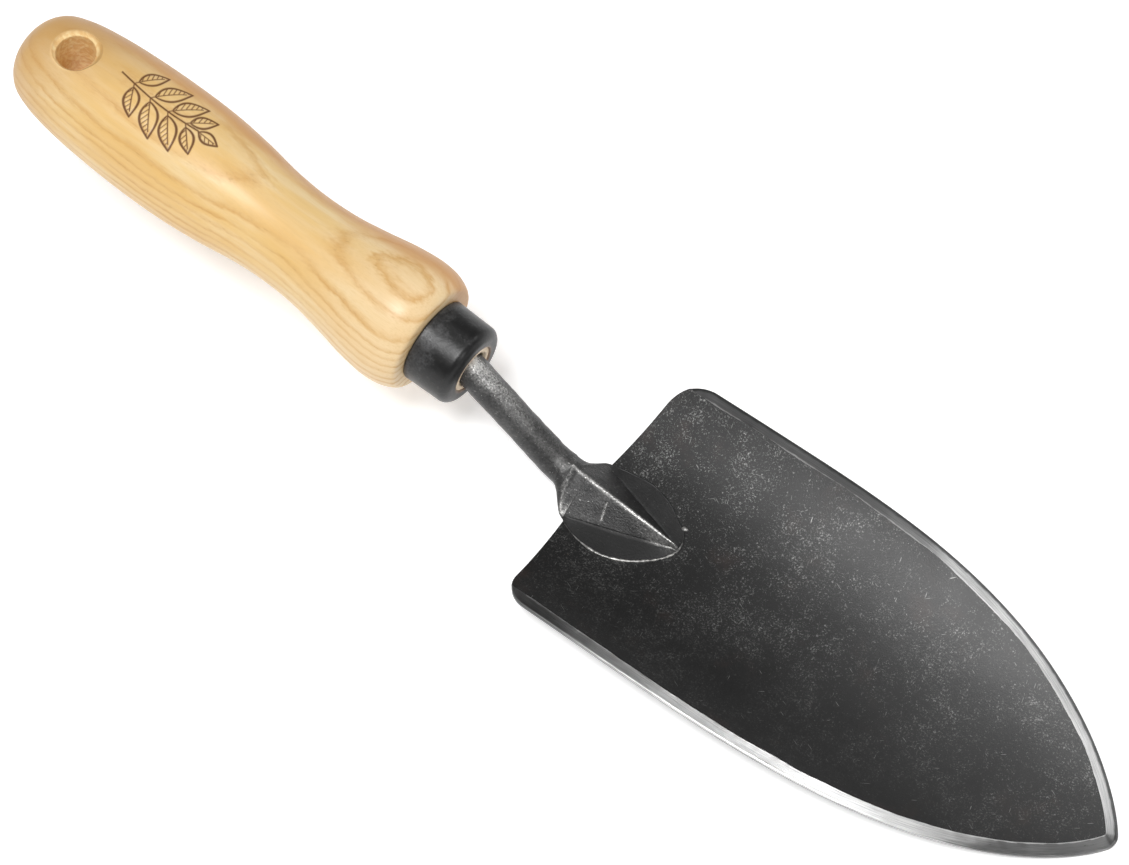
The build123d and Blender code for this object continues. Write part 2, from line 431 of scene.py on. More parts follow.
# -------- materials
def ash_wood():
    """Flat-sawn ash under clear lacquer: growth rings lie nearly level, so that turning bares
    ovals on the bulbs and long wandering lines at the waist."""
    pale, cream, honey = (0.745, 0.535, 0.250), (0.770, 0.600, 0.345), (0.69, 0.415, 0.125)
    bleached, ochre, straw = (0.80, 0.625, 0.400), (0.590, 0.325, 0.100), (0.58, 0.38, 0.16)
    umber, tan, hazel = (0.42, 0.22, 0.07), (0.56, 0.26, 0.065), (0.52, 0.285, 0.095)
    pale_end_grain_and_painted_light, shaded, lit = (0.95, 0.78, 0.58), (0.84, 0.55, 0.24), (1.0, 0.80, 0.44)
    burnt = (0.10, 0.030, 0.008)

    w = Wiring("ash_wood")
    turn = Matrix.Rotation(-pitch, 3, "Y")
    grain = w.mapped(w.place, (1 / MM,) * 3, (0, -pitch, 0), -(turn @ Vector(hole_centre)))
    along, across, height = w.parts(grain)

    def streaks(long, wide, detail=2.0, start=(0, 0, 0)):
        return w.noise(grain, (1 / long, 1 / wide, 1 / wide), detail, 0.55, start)

    broad = streaks(55, 22)
    wander = streaks(14, 5, 3.0)
    level = w.add(
        height,
        w.times(across, 0.09),
        w.times(across, across, -0.004),
        w.times(broad, 3.4),
        w.times(wander, 1.5),
        w.times(streaks(2.4, 1.0, 3.0), 1.1),
    )
    rings_for_each_mm = 0.38
    spread = w.noise(w.joined(w.times(level, 0.13), 0.0, 0.0), 1.0, 1.0)
    ring = w.math("FRACT", w.add(w.times(level, rings_for_each_mm), w.times(spread, 1.5)))
    late, early = ((0.0, 1.0), (0.07, 0.80), (0.24, 0.25)), ((0.40, 0.0), (0.80, 0.0))
    line = w.ramp(ring, *late, *early, (0.93, 0.5), (1.0, 1.0))
    fading = w.step(streaks(30, 4, 2.0, (5, 2, 1)), 0.30, 0.68, 0.30, 1.0)
    fibre = streaks(9, 0.24, 3.0, (1, 7, 3))
    pits = w.times(w.step(streaks(3.2, 0.16, 2.0, (2, 3, 9)), 0.57, 0.66), line)
    off_side = w.add(across, w.times(height, -0.20), w.times(wander, 5.0), w.times(broad, 4.0))
    butt = w.add(along, w.times(across, -0.8), w.times(wander, 9.0), w.times(broad, 6.0))
    end_grain, char = w.named("end_grain"), w.named("burn")
    from_bore = w.math("SQRT", w.add(w.times(along, along), w.times(across, across)))
    bore = w.step(from_bore, hole_radius + 0.1, hole_radius + 1.6, 1.0, 0.0)
    rough = streaks(1.6, 1.1, 3.0, (6, 6, 1))
    tone = w.layered(
        pale,
        (w.step(streaks(24, 2.2, 3.0, (9, 4, 2)), 0.36, 0.66), cream),
        (w.step(streaks(70, 14, 2.0, (3, 8, 5)), 0.38, 0.66, 0.0, 0.70), honey),
        (w.step(along, 70, 112, 0.0, 0.60), bleached),
        (w.times(line, fading, 0.85), ochre),
        (w.step(fibre, 0.44, 0.74, 0.0, 0.28), straw),
        (w.times(pits, 0.45), umber),
        (w.step(off_side, 7.0, 13.5, 0.0, 0.85), tan),
        (w.step(butt, -7.0, 34.0, 0.80, 0.0), hazel),
        # the end grain is paler wood, and is lightened further as painted light against its shadow
        # inside the ferrule's mouth
        (w.times(end_grain, 0.85), pale_end_grain_and_painted_light),
        # painted light: the hole's inside is painted a near-white gold to lift its shadow; its
        # shaded and lit tones are mixed by noise
        (w.times(bore, 0.95), w.mix(w.step(rough, 0.35, 0.7), shaded, lit)),
        (w.times(char, 0.93), burnt),
    )
    relief = w.add(w.times(pits, -0.6), w.times(fibre, 0.25), w.times(bore, rough, 6.0))
    w.shade(
        Base_Color=tone,
        Roughness=w.add(0.44, w.times(char, 0.30), w.times(pits, 0.15), w.times(end_grain, 0.3)),
        Specular_IOR_Level=0.3,
        Coat_Weight=0.18,
        Coat_Roughness=0.24,
        Normal=w.bump(relief, 0.06, 0.5),
    )
    return w.material


def scratches(w, mm, *angles):
    """Sparse short scratches at some angles, 1 where there is one."""
    total = 0.0
    for number, angle in enumerate(angles):
        turned_mm = w.mapped(mm, rotation=(0, 0, math.radians(angle)))
        streak = w.noise(turned_mm, (0.33, 4.5, 0.4), 0.0, shift=(31 * number, 17, 5))
        total = w.add(total, w.step(streak, 0.845, 0.89))
    return total


def scale_steel():
    """Blade: dark mill scale with fine bright flecks, faint brown tints and light scratches.
    It reflects more towards the point, and its bright flecks are painted denser on its +Y half, as
    glints where the key light's sheen falls."""
    black, brown, bare = (0.007,) * 3, (0.050, 0.030, 0.024), (0.28, 0.28, 0.274)
    w = Wiring("scale_steel")
    mm = w.millimetres()
    x, y, _ = w.parts(mm)
    cloud = w.noise(mm, 0.05, 4.0, 0.55)
    rust = w.noise(mm, 0.08, 4.0, 0.6, (40, 11, 3))
    grit = w.noise(mm, 2.4, 3.0, 0.7)
    fine = w.noise(mm, 2.2, 4.0, 0.85, (7, 3, 1))
    clumps = w.noise(mm, 0.30, 4.0, 0.75, (3, 8, 2))
    patchy = w.step(cloud, 0.35, 0.65, -0.03, 0.03)
    flecks = w.step(w.add(fine, patchy, w.times(clumps, 0.17)), 0.640, 0.735)
    clumped = w.step(clumps, 0.3, 0.65, 0.3, 1.0)
    # painted glints: the bright flecks are kept mostly to the +Y half, where the key light's sheen
    # falls
    painted_glint_side = w.step(w.add(y, w.times(cloud, 18.0)), -18.0, 18.0, 0.25, 1.0)
    marks = scratches(w, mm, 24, -38, 75)
    bright = w.math("MAXIMUM", w.times(flecks, w.times(clumped, painted_glint_side)), marks)
    tone = w.layered(
        w.mix(cloud, black, (0.014, 0.014, 0.0138)),
        (w.step(rust, 0.56, 0.80, 0.0, 0.35), brown),
        (w.times(bright, 0.9), bare),
    )
    front = w.step(x, heel_x, point_x, 0.27, 0.37)
    w.shade(
        Base_Color=tone,
        Metallic=w.times(bright, 0.9),
        Specular_IOR_Level=w.step(x, heel_x, heel_x + 110, 0.30, 0.68),
        Roughness=w.add(front, w.times(grit, 0.16), w.times(cloud, 0.08)),
        Normal=w.bump(w.add(grit, w.times(cloud, 0.4)), 0.06, 0.9),
    )
    return w.material


def ground_steel():
    """Ground edge: bright, with grinding lines that run along it. It is darker near the back
    and along its outer rim on the +Y side, painted shade darkens it near the point on the
    -Y side, and a painted highlight runs along its inner grind line."""
    dark, middling, bright = (0.055,) * 3, (0.40, 0.40, 0.405), (0.92, 0.92, 0.91)
    w = Wiring("ground_steel")
    x, y, _ = w.parts(w.millimetres())
    right = w.step(y, -1.0, 1.0)
    left = w.math("SUBTRACT", 1.0, right)
    run, inset = w.named("run"), w.named("inset")
    lines = w.noise(w.joined(w.times(run, 0.10), w.times(inset, 9.0), 0.0), 1.0, 3.0, 0.65)
    chatter = w.noise(w.joined(w.times(run, 0.5), w.times(inset, 1.6), 4.0))
    patches = w.noise(w.joined(w.times(run, 0.09), w.times(inset, 0.3), 8.0))
    ahead = w.add(x, w.times(patches, 22.0), w.times(right, -48.0))
    darker_back = w.step(ahead, heel_x + 20, heel_x + 66, 0.85, 0.0)
    # painted shade: darker towards the point on the -Y side, where the edge reflects less light
    painted_point_shade = w.times(w.step(ahead, point_x - 26, point_x - 8, 0.0, 0.78), left)
    outer = w.times(w.step(w.add(inset, w.times(chatter, 0.6)), 0.9, 1.5, 0.85, 0.0), right)
    # painted highlight: a bright line along the inner grind line, fainter near the back
    grind_line_highlight = w.step(w.add(inset, w.times(chatter, 0.5)), 2.85, 3.05)
    tone = w.layered(
        w.mix(w.step(w.add(lines, w.times(right, -0.10)), 0.20, 0.66), middling, bright),
        (darker_back, dark),
        (painted_point_shade, (0.10,) * 3),
        (outer, (0.05,) * 3),
        (w.times(grind_line_highlight, w.add(0.8, w.times(darker_back, -0.50))), (0.80, 0.80, 0.79)),
    )
    w.shade(
        Base_Color=tone,
        Metallic=1.0,
        Roughness=w.add(0.19, w.times(lines, 0.14), w.times(chatter, 0.10), w.times(right, 0.08)),
        Normal=w.bump(w.add(lines, w.times(chatter, 1.5)), 0.010, 0.8),
    )
    return w.material


def forged_steel():
    """Neck and head: black scale, hammered, with bright glints where it is worn, and painted
    highlights along the neck's top and on the creases.
    """
    black, grey, bare = (0.018, 0.018, 0.019), (0.21, 0.208, 0.204), (0.82, 0.81, 0.79)
    w = Wiring("forged_steel")
    mm = w.millimetres()
    grit = w.noise(mm, 1.7, 4.0, 0.7)
    cloud = w.noise(mm, 0.18, 3.0, 0.55)
    speck = w.noise(mm, (1.3, 3.0, 3.0), 3.0, 0.75, (5, 2, 9))
    # real wear on the ridge, and painted highlight on the neck's top and on the creases
    wear, pad = w.named("wear"), w.named("pad")
    glints = w.step(w.add(speck, w.times(grit, 0.35), w.times(wear, 0.25)), 0.82, 0.97)
    tone = w.layered(
        w.mix(w.times(cloud, grit), black, grey),
        (w.times(wear, w.step(grit, 0.30, 0.65, 0.15, 0.85)), bare),
        (w.times(glints, 0.9), (0.80, 0.79, 0.77)),
        (w.times(pad, 0.92), (0.010,) * 3),
    )
    w.shade(
        Base_Color=tone,
        Metallic=w.times(w.add(0.75, w.times(glints, 0.25)), w.math("SUBTRACT", 1.0, pad)),
        Specular_IOR_Level=w.add(0.5, w.times(pad, -0.22)),
        Roughness=w.add(0.32, w.times(grit, 0.20), w.times(glints, -0.10), w.times(pad, 0.10)),
        Normal=w.bump(w.add(grit, w.times(cloud, 0.5), w.times(speck, 0.5)), 0.15, 0.9),
    )
    return w.material


def weld_steel():
    """Weld: rough; painted light makes it bare grey where it is lit, and painted shade makes it
    black elsewhere.
    """
    black, grey, bare = (0.012,) * 3, (0.14, 0.138, 0.135), (0.60, 0.59, 0.57)
    w = Wiring("weld_steel")
    grit = w.noise(w.millimetres(), 1.1, 3.0, 0.6)
    clean = w.named("clean")
    w.shade(
        Base_Color=w.mix(clean, black, w.mix(w.step(grit, 0.35, 0.65), grey, bare)),
        Metallic=w.times(clean, 0.8),
        Roughness=w.add(0.30, w.times(grit, 0.2)),
        Normal=w.bump(grit, 0.12, 0.7),
    )
    return w.material


def ferrule_steel():
    """Ferrule: black, semi-gloss, browned at the mouth, with scuffs that gather towards its rear,
    where they are partly a painted sheen.
    """
    black, scuffed_sheen_grey, browned = (0.005,) * 3, (0.095, 0.095, 0.097), (0.50, 0.34, 0.25)
    w = Wiring("ferrule_steel")
    mm = w.millimetres()
    cloud = w.noise(mm, 0.24, 4.0, 0.6)
    grit = w.noise(mm, 1.6, 4.0, 0.65)
    # partly painted sheen: the scuffs gather towards the rear, where the key light's sheen falls
    worn = w.add(w.times(cloud, 0.7), w.times(grit, 0.45), w.times(w.named("rear"), 0.16))
    scuff_and_sheen = w.step(worn, 0.58, 0.80)
    tone = w.layered(
        w.mix(cloud, black, (0.013,) * 3),
        (w.times(scuff_and_sheen, 0.75), scuffed_sheen_grey),
        (w.times(w.named("mouth"), 0.85), browned),
    )
    w.shade(
        Base_Color=tone,
        Metallic=w.times(scuff_and_sheen, 0.6),
        Specular_IOR_Level=0.42,
        Roughness=w.add(0.22, w.times(cloud, 0.20), w.times(grit, 0.12)),
        Normal=w.bump(w.add(cloud, w.times(grit, 0.35)), 0.14, 0.7),
    )
    return w.material


def studio_floor():
    w = Wiring("studio_floor")
    w.shade(
        Base_Color=w.mix(w.noise(w.place, 300.0), (0.79,) * 3, (0.81,) * 3),
        Roughness=0.7,
        Specular_IOR_Level=0.2,
        Emission_Color=(1, 1, 1),
        Emission_Strength=0.44,
    )
    return w.material


# -------- handle
def leaf_ink(u, v, x, angle, length):
    """Distance to the nearest burnt line of one leaf that leaves the stem at x."""
    no_line = 9.0
    stalk = 1.2
    turn = math.radians(angle)
    base_y = 1.5 * math.sin((x + 15) * math.pi / 30)
    p = (u - x) * math.cos(turn) + (v - base_y) * math.sin(turn)
    q = -(u - x) * math.sin(turn) + (v - base_y) * math.cos(turn)
    share = np.clip((p - stalk) / (length - stalk), 0, 1)
    leaf_half = 0.215 * length * np.sin(math.pi * share**0.85)
    beyond = np.maximum(stalk - p, p - length)
    from_ends = np.hypot(np.maximum(beyond, 0), q)
    from_sides = np.abs(np.abs(q) - leaf_half) * 0.8
    edge = np.where(beyond > 0, from_ends, from_sides) - char_line
    rib = np.where((p > 0) & (p < 0.86 * length), np.abs(q) - char_line * 0.6, no_line)
    veins = np.abs((p - 0.75 * np.abs(q)) % 1.25 - 0.62) - 0.16
    veined = (np.abs(q) < leaf_half - 0.25) & (q * (1 if angle >= 0 else -1) > 0.1)
    return np.minimum(edge, np.minimum(rib, np.where(veined, veins, no_line)))


def sprig(u, v):
    """Share of char, from 0 to 1, at (u, v) of a burnt sprig of leaves, u along the stem."""
    stem_y = 1.5 * np.sin((u + 15) * math.pi / 30)
    ink = np.where((u > -15.5) & (u < 10), np.abs(v - stem_y) - char_line * 0.9, 9.0)
    for x, angle, length in ((-10.8, 58, 9.0), (-5.0, 54, 10.6), (0.8, 50, 10.2), (6.2, 45, 8.0)):
        for sign in (1, -1):
            ink = np.minimum(ink, leaf_ink(u, v, x, sign * angle, length))
    ink = np.minimum(ink, leaf_ink(u, v, 9.0, 0, 7.0))
    return np.clip(0.5 - ink / 0.22, 0, 1)


def grip_rows():
    """The grip's skin from the butt to the shoulder, in closer rows where the mark is."""
    outline = flowing(turned_outline)
    outline[:, 1] = np.maximum(outline[:, 1], 0)
    run = run_length(outline)
    mark_ends = (mark_behind - mark_half_length, mark_behind + mark_half_length)
    start, end = np.interp(mark_ends, outline[:, 0], run)
    at = np.concatenate([
        np.arange(0, start, 0.75),
        np.arange(start, end, mark_step),
        np.linspace(end, run[-1], 62),
    ])
    return resampled(outline, at)[::-1] * [-1, 1]


def tenon_rows():
    """On from the shoulder: out along the tenon, and back down the tang's bore."""
    tenon = ferrule_length - 0.3
    bored = ferrule_length - ferrule_lip - 0.05
    return np.array([
        (0.0, ferrule_rear_radius - ferrule_wall),
        (bored, ferrule_front_radius - ferrule_wall),
        (bored, ferrule_mouth - 0.05),
        (tenon - 0.1, ferrule_mouth - 0.1),
        (tenon, ferrule_mouth - 0.3),
        (tenon - 0.05, rod_radius + 0.9),
        (tenon - 0.5, rod_radius + 0.3),
        (0.0, rod_radius + 0.1),
        (-tang_depth, tang_end_radius + 0.1),
        (-tang_depth - 0.2, 0.0),
    ])


def hole_cutter():
    """A slightly uneven solid that fills the hanging hole and its eased mouths."""
    edge = rounded_path(
        [(11.0, hole_radius), (12.4, hole_radius), (14.4, hole_radius + hole_easing), (20, 11)],
        [0.5, 0.9],
    )
    half = np.vstack([[(20.0, 0.0)], edge[::-1], [(0.0, hole_radius)]])
    outline = np.vstack([half, half[-2::-1] * [-1, 1]])
    points = turned(outline, full_turn(96), hole_centre, upward, forward)
    away = points - hole_centre
    away -= (away @ upward)[..., None] * upward
    return skin("hole_cutter", points + 0.022 * ripple(points, 5.0, 8)[..., None] * away)


def drill(piece, cutter):
    """Takes the cutter's solid away from the piece, and then removes the cutter."""
    cut = piece.modifiers.new("hole", "BOOLEAN")
    cut.operation, cut.solver, cut.object = "DIFFERENCE", "EXACT", cutter
    seen = piece.evaluated_get(bpy.context.evaluated_depsgraph_get())
    mesh = bpy.data.meshes.new_from_object(seen)
    piece.modifiers.clear()
    piece.data = mesh
    mesh.name = piece.name
    bpy.data.objects.remove(cutter)
    mesh.shade_smooth()
    mesh.set_sharp_from_angle(angle=math.radians(32))


def handle_grip(wood):
    outside_rows = grip_rows()
    rows = np.vstack([outside_rows, tenon_rows()])
    fine_turn = mark_half_width / mark_radius
    angles = mark_turn + np.concatenate([
        np.arange(-fine_turn, fine_turn, mark_step / mark_radius),
        np.linspace(fine_turn, 2 * math.pi - fine_turn, 84)[:-1],
    ])
    points = turned(rows, angles, shoulder, forward, upward)
    reach = np.broadcast_to(rows[:, 1:], points.shape[:2])
    number = np.arange(len(rows))[:, None]
    outside = number < len(outside_rows)
    u = rows[:, :1] + mark_behind + 0 * reach
    v = reach * (angles - mark_turn)
    inside_mark = outside & (np.abs(u) < mark_half_length) & (np.abs(v) < mark_half_width)
    burn = np.where(inside_mark, sprig(u, v), 0.0)
    # this is the radius only along the crest, so the char is shallower at the mark's sides
    push = np.cos(angles)[:, None] * upward + np.sin(angles)[:, None] * side
    sway = 0.05 * ripple(points, 26.0, 3) * outside * np.clip(reach / 6, 0, 1)
    points = points + push * (sway - char_depth * burn)[..., None]
    end_grain = (number > len(outside_rows)) * np.ones(len(angles))
    grip = skin("handle_grip", points, values={"burn": burn, "end_grain": end_grain}, sharp=45)
    drill(grip, hole_cutter())
    place(grip, "handle", "ash_wood", wood)


# -------- ferrule
def ferrule_cap(steel):
    widened = 0.9  # depth of its wider rear mouth
    rear, front = ferrule_rear_radius, ferrule_front_radius
    corners = [
        (widened, rear - 0.75),
        (0.05, rear - 0.62),
        (0.05, rear),
        (ferrule_length, front),
        (ferrule_length, ferrule_mouth),
        (ferrule_length - ferrule_lip, ferrule_mouth),
        (ferrule_length - ferrule_lip, front - ferrule_wall + 0.02),
        (widened, rear - ferrule_wall + 0.02),
        (widened, rear - 0.75),
    ]
    outer = rounded_path(corners, [0.1, 0.45, ferrule_rim, 0.4, 0.3, 0.2, 0.1])
    run = run_length(outer)
    outline = resampled(outer, np.unique(np.concatenate([run, np.arange(0, run[-1], 0.5)])))
    angles = full_turn(200)
    points = turned(outline, angles, shoulder, forward, upward)
    along, reach = outline[:, :1] + 0 * angles, outline[:, 1:] + 0 * angles
    push = np.cos(angles)[:, None] * upward + np.sin(angles)[:, None] * side
    dents = 0.05 * ripple(points, 9.0, 5) * (reach > 9.5)
    points = points + push * dents[..., None]
    at_front = along > ferrule_length - ferrule_lip - 0.1
    mouth = np.clip(1 - (reach - ferrule_mouth) / 0.55, 0, 1) * at_front
    values = {"mouth": mouth, "rear": np.clip(1 - along / 7, 0, 1)}
    cap = skin("ferrule_cap", points, values=values, sharp=50)
    place(cap, "ferrule", "ferrule_steel", steel)


# -------- blade
def face_height(y):
    return dish_axis_z - np.sqrt(dish_radius**2 - y**2)


def under_height(y):
    return dish_axis_z - np.sqrt((dish_radius + plate) ** 2 - y**2)


def side_width(ahead):
    share = np.clip((ahead - widest) / (point_x - heel_x - widest), 0, 1)
    return half_width * (1 - share**side_power) ** point_power


def blade_outline(corner_radius):
    """Half of the outline in plan, from the middle of the back edge round to the point, and
    how far along it each place is. Ahead of the widest place both halves have the same rows.
    The point is rounded by the arc that carries the side on to the middle."""
    back = rounded_path(
        [(0, 0), (0, back_flat), (back_sweep, half_width), (widest, half_width)],
        [corner_radius, corner_radius],
    )
    end = point_x - heel_x - blunting
    ahead = widest + (end - widest) * (1 - np.linspace(1, 0, 900) ** 1.6)
    flank = np.stack([ahead, side_width(ahead)], 1)
    along, down = flank[-1] - flank[-2]
    lean = math.atan2(along, -down)
    radius = flank[-1, 1] / math.sin(lean)
    centre = end - radius * math.cos(lean)
    angles = np.linspace(lean, 0, 40)
    arc = np.stack([centre + radius * np.cos(angles), radius * np.sin(angles)], 1)
    side_path = np.vstack([flank, arc[1:]])
    back = resampled(back, np.linspace(0, run_length(back)[-1], 141))
    side_path = resampled(side_path, np.linspace(0, run_length(side_path)[-1], 321))
    outline = np.vstack([back, side_path[1:]])
    return outline, run_length(outline)


def ground_width(run, flip):
    """Width of the ground edge along the outline. It wanders, but not by the two ends."""
    ends = np.clip((np.minimum(run, run[-1] - run) - 8) / 12, 0, 1)
    wander = ripple_along(run, 16.0, 11 if flip > 0 else 12)
    jagged = ripple_along(run, 2.6, 13 if flip > 0 else 14)
    return bevel_width * (1 + (0.06 * wander + 0.022 * jagged) * ends)


def blade_half(flip):
    """Rings of points from the middle of the hollow face out over the ground edge and back
    under the blade, for one half; flip is -1 for the -Y half. With them go how far along the
    outline and inside it each point is, and whether it is ground."""
    outline, run = blade_outline(corner_radii[flip])
    shared_x = blade_outline(corner_radii[1])[0][:, 0]
    tangent = tangents_of(outline)
    inward = np.stack([tangent[:, 1], -tangent[:, 0]], 1)
    inward[0], inward[-1] = (1, 0), (-1, 0)
    width = ground_width(run, flip)
    behind_widest = outline[:, 0] < widest
    off_side = np.where(behind_widest, half_width - outline[:, 1], 0.0)
    towards_side = np.where(behind_widest, -inward[:, 1], 1.0)
    reach = np.clip((width - off_side) / np.maximum(towards_side, 0.3), 0.35, 6.0)

    def inside(inset):
        return outline + inset[:, None] * inward

    def depth(inset):
        """How deep the ground edge is cut, that far inside the outline."""
        away = off_side + inset * towards_side
        return bevel_depth * np.clip(1 - away / width, 0, 1)

    def middle_line(end):
        return np.stack([np.clip(shared_x, spine_start, end), 0 * run], 1)

    rings = []

    def ring(plan, height, inset, bright):
        points = np.stack([heel_x + plan[:, 0], flip * plan[:, 1], height], 1)
        rings.append((points, run, np.broadcast_to(inset, run.shape), bright))

    grind_line = inside(reach)
    grind_line[-1, 1] = 0
    spine = middle_line(grind_line[-1, 0] - face_spine_short)
    for share in np.linspace(0, 1, 34)[:-1]:
        plan = spine + (grind_line - spine) * share**0.9
        ring(plan, face_height(plan[:, 1]), reach, False)
    rim = np.minimum(rim_round, 0.8 * reach)
    for share in np.linspace(0, 1, 9):
        inset = reach + (rim - reach) * share
        plan = inside(inset)
        ring(plan, face_height(plan[:, 1]) - depth(inset), inset, True)
    top = face_height(inside(rim)[:, 1]) - depth(rim)
    for angle in np.linspace(0, math.pi / 2, 7)[1:]:
        inset = rim * (1 - math.sin(angle))
        ring(inside(inset), top - rim * (1 - math.cos(angle)), inset, True)
    low = np.minimum(under_round, 0.8 * reach)
    inner = inside(low)
    floor_line = under_height(inner[:, 1])
    for angle in np.linspace(math.pi / 2, 0, 5):
        inset = low * (1 - math.sin(angle))
        ring(inside(inset), floor_line + low * (1 - math.cos(angle)), inset, False)
    spine = middle_line(point_x - heel_x - under_spine_short)
    for share in np.linspace(1, 0, 26)[1:]:
        plan = spine + (inner - spine) * share**0.9
        ring(plan, under_height(plan[:, 1]), 9.0, False)

    points, runs, insets, bright = zip(*rings)
    ground = np.array(bright)[None] & (depth(reach * 0) > 0.03)[:, None]
    return np.stack(points, 1), np.stack(runs, 1), np.stack(insets, 1), ground


def blade_plate(scale, steel):
    halves = zip(blade_half(1), blade_half(-1))
    points, runs, insets, ground = (np.concatenate([a, b[::-1]]) for a, b in halves)
    dents = 0.07 * ripple(points, 34.0, 21) + 0.025 * ripple(points, 9.0, 22)
    points[..., 2] += dents * np.clip(points[..., 2] / 0.6, 0, 1)
    ground_faces = ground[:-1, :-1] & ground[1:, :-1] & ground[:-1, 1:]
    values = {"run": runs, "inset": insets}
    blade = skin("blade_plate", points, False, values, ground_faces, sharp=13)
    place(blade, "blade", "blade_steel", scale, steel)


# -------- forging
shares = (38, 12, 6, 12)  # steps of a half section: slope of the ridge, pad, lip, underside


def ring_angles():
    """Angles of a round half section, crest to bottom, in the same shares as the head's."""
    bends = (90, 10, -10, -45, -90)
    parts = [np.linspace(a, b, n + 1)[:-1] for a, b, n in zip(bends, bends[1:], shares)]
    return np.radians(np.concatenate([*parts, [-90]]))


def head_section(ahead, flip):
    """Half section of the head, crest to bottom: y, z and how much of a crease is there."""
    leaf = flowing(pad_edges[flip])
    outer = float(np.interp(ahead, leaf[:, 0], leaf[:, 1]))
    along = np.clip(ahead / ridge_length, 0, 1)
    foot = min(ridge_feet[flip] * (1 - along) + ridge_end_foot * along, 0.96 * outer)
    crest = plate + ridge_height + (ridge_end_height - ridge_height) * along
    crest -= max(0.0, ahead - ridge_length) * ridge_nose
    thick = pad_thick * min(1.0, 0.35 + outer / 5)
    foot_z = face_height(foot) + thick
    slope_y = np.linspace(0, foot, shares[0] + 1)[:-1]
    rounded = np.sqrt(slope_y**2 + crest_round**2) - crest_round
    slope_z = crest - (crest - foot_z) * rounded / max(foot - 0.2, 0.1)
    pad_y = foot + (outer - foot) * np.linspace(0, 1, shares[1] + 1)[:-1] ** 0.8
    fall = np.clip((pad_y - foot) / max(outer - foot, 1e-3), 0, 1)
    pad_z = face_height(pad_y) + thick + (pad_lip - thick) * fall
    lip_z = face_height(outer) + pad_lip * np.linspace(1, 0, shares[2] + 1)[:-1]
    under_y = np.linspace(outer, 0, shares[3] + 1)
    y = np.concatenate([slope_y, pad_y, np.full(shares[2], outer), under_y])
    z = np.concatenate([slope_z, pad_z, lip_z, face_height(under_y)])
    return np.stack([y, z, 0 * y], 1)


def flare_width(ahead, flip):
    table = np.array(flare_widths[flip])
    return np.interp(ahead, table[:, 0], table[:, 1])


def flare_section(ahead, flip):
    """Half section where the rod spreads, like the head's. It is a full, pointed shape that
    the two slopes of the ridge cut, with a crease where the -Y slope begins."""
    angles = ring_angles()
    share = 1 + ahead / flare_length
    middle = rod_level + (3.4 - rod_level) * share**0.8
    power = 2 / (2 - 0.9 * min(1, share * 2.2))
    c, s = np.cos(angles), np.sin(angles)
    y = flare_width(ahead, flip) * np.abs(c) ** np.where(s > 0, power, 1.0)
    half_height = rod_radius + 0.2 * share
    top, bottom = rod_level + half_height, rod_level - half_height
    z = middle + np.where(s > 0, (top - middle) * np.abs(s) ** power, (middle - bottom) * s)
    rear = head_section(0.0, flip)
    near = share**7
    y, z = y + (rear[:, 0] - y) * near, z + (rear[:, 1] - z) * near
    slope = (rear[0, 1] - rear[shares[0], 1]) / rear[shares[0], 0]
    lift = 0.4 * max(0.0, -ahead - 2.5)
    fall = ahead * (ridge_height - ridge_end_height) / ridge_length
    roof = rear[0, 1] - fall - slope * y + lift
    # the crease is kept on the -Y side only, where it carries a painted highlight
    crease = np.exp(-(((z - roof) / 0.3) ** 2)) * (s > 0.1) * (share > 0.35) * (flip < 0)
    return np.stack([y, np.where(s > 0.17, np.minimum(z, roof), z), crease], 1)


def whole_section(half_section, ahead):
    """x, y, z and crease of a whole section, going round from the crest by the +Y side."""
    right, left = half_section(ahead, 1), half_section(ahead, -1)[-2:0:-1] * [-1, 1, 1]
    across = np.vstack([right, left])
    return np.column_stack([np.full(len(across), heel_x + ahead), across])


def head_sections():
    """Sections of the flare and of the head, from the rod to the pad's front end."""
    flare = -flare_length * (1 - np.linspace(0, 1, 40)[1:-1])
    head = np.concatenate([np.linspace(0, 24, 88)[:-1], np.linspace(24, pad_length - 0.03, 20)])
    sections = [whole_section(flare_section, ahead) for ahead in flare]
    return np.array(sections + [whole_section(head_section, ahead) for ahead in head])


def rod_sections(spin):
    """Round sections along the bar, from the tang's end to the flare, where it widens."""
    turn = shoulder + crank_from_shoulder * forward
    run_out = (turn[2] - rod_level) / math.tan(crank_pitch)
    tang_end = shoulder - tang_depth * forward
    level_start, level_end = (turn[0] + run_out, rod_level), (heel_x - flare_length, rod_level)
    corners = [tang_end[[0, 2]], turn[[0, 2]], level_start, level_end]
    path = rounded_path(corners, crank_bends)
    run = run_length(path)
    hidden = tang_depth - 4
    at = np.concatenate([
        np.linspace(0, hidden, 24)[:-1],
        np.arange(hidden, run[-1], 0.45),
        run[-1:],
    ])
    centres = resampled(path, at)
    tangents = tangents_of(centres)
    tangents[-1] = (1, 0)
    radii = np.interp(at, (0, tang_depth), (tang_end_radius, rod_radius))
    sections = []
    for (x, z), tangent, radius in zip(centres, tangents, radii):
        normal = np.array([-tangent[1], 0, tangent[0]])
        widths = np.where(spin < math.pi / 2, *(flare_width(x - heel_x, flip) for flip in (1, -1)))
        sideways = np.cos(spin) * widths / rod_radius
        spokes = sideways[:, None] * side + np.sin(spin)[:, None] * normal
        sections.append(np.array([x, 0, z]) + radius * spokes)
    return np.array(sections)


def hammered(points, free):
    """The points moved in and out by hammer blows, by the share to which each is free."""
    outwards = points - points.mean(1, keepdims=True)
    outwards /= np.linalg.norm(outwards, axis=2)[..., None] + 1e-9
    blow = 0.075 * ripple(points, 6.0, 31) + 0.045 * ripple(points, 2.4, 32)
    return points + outwards * (blow * free)[..., None]


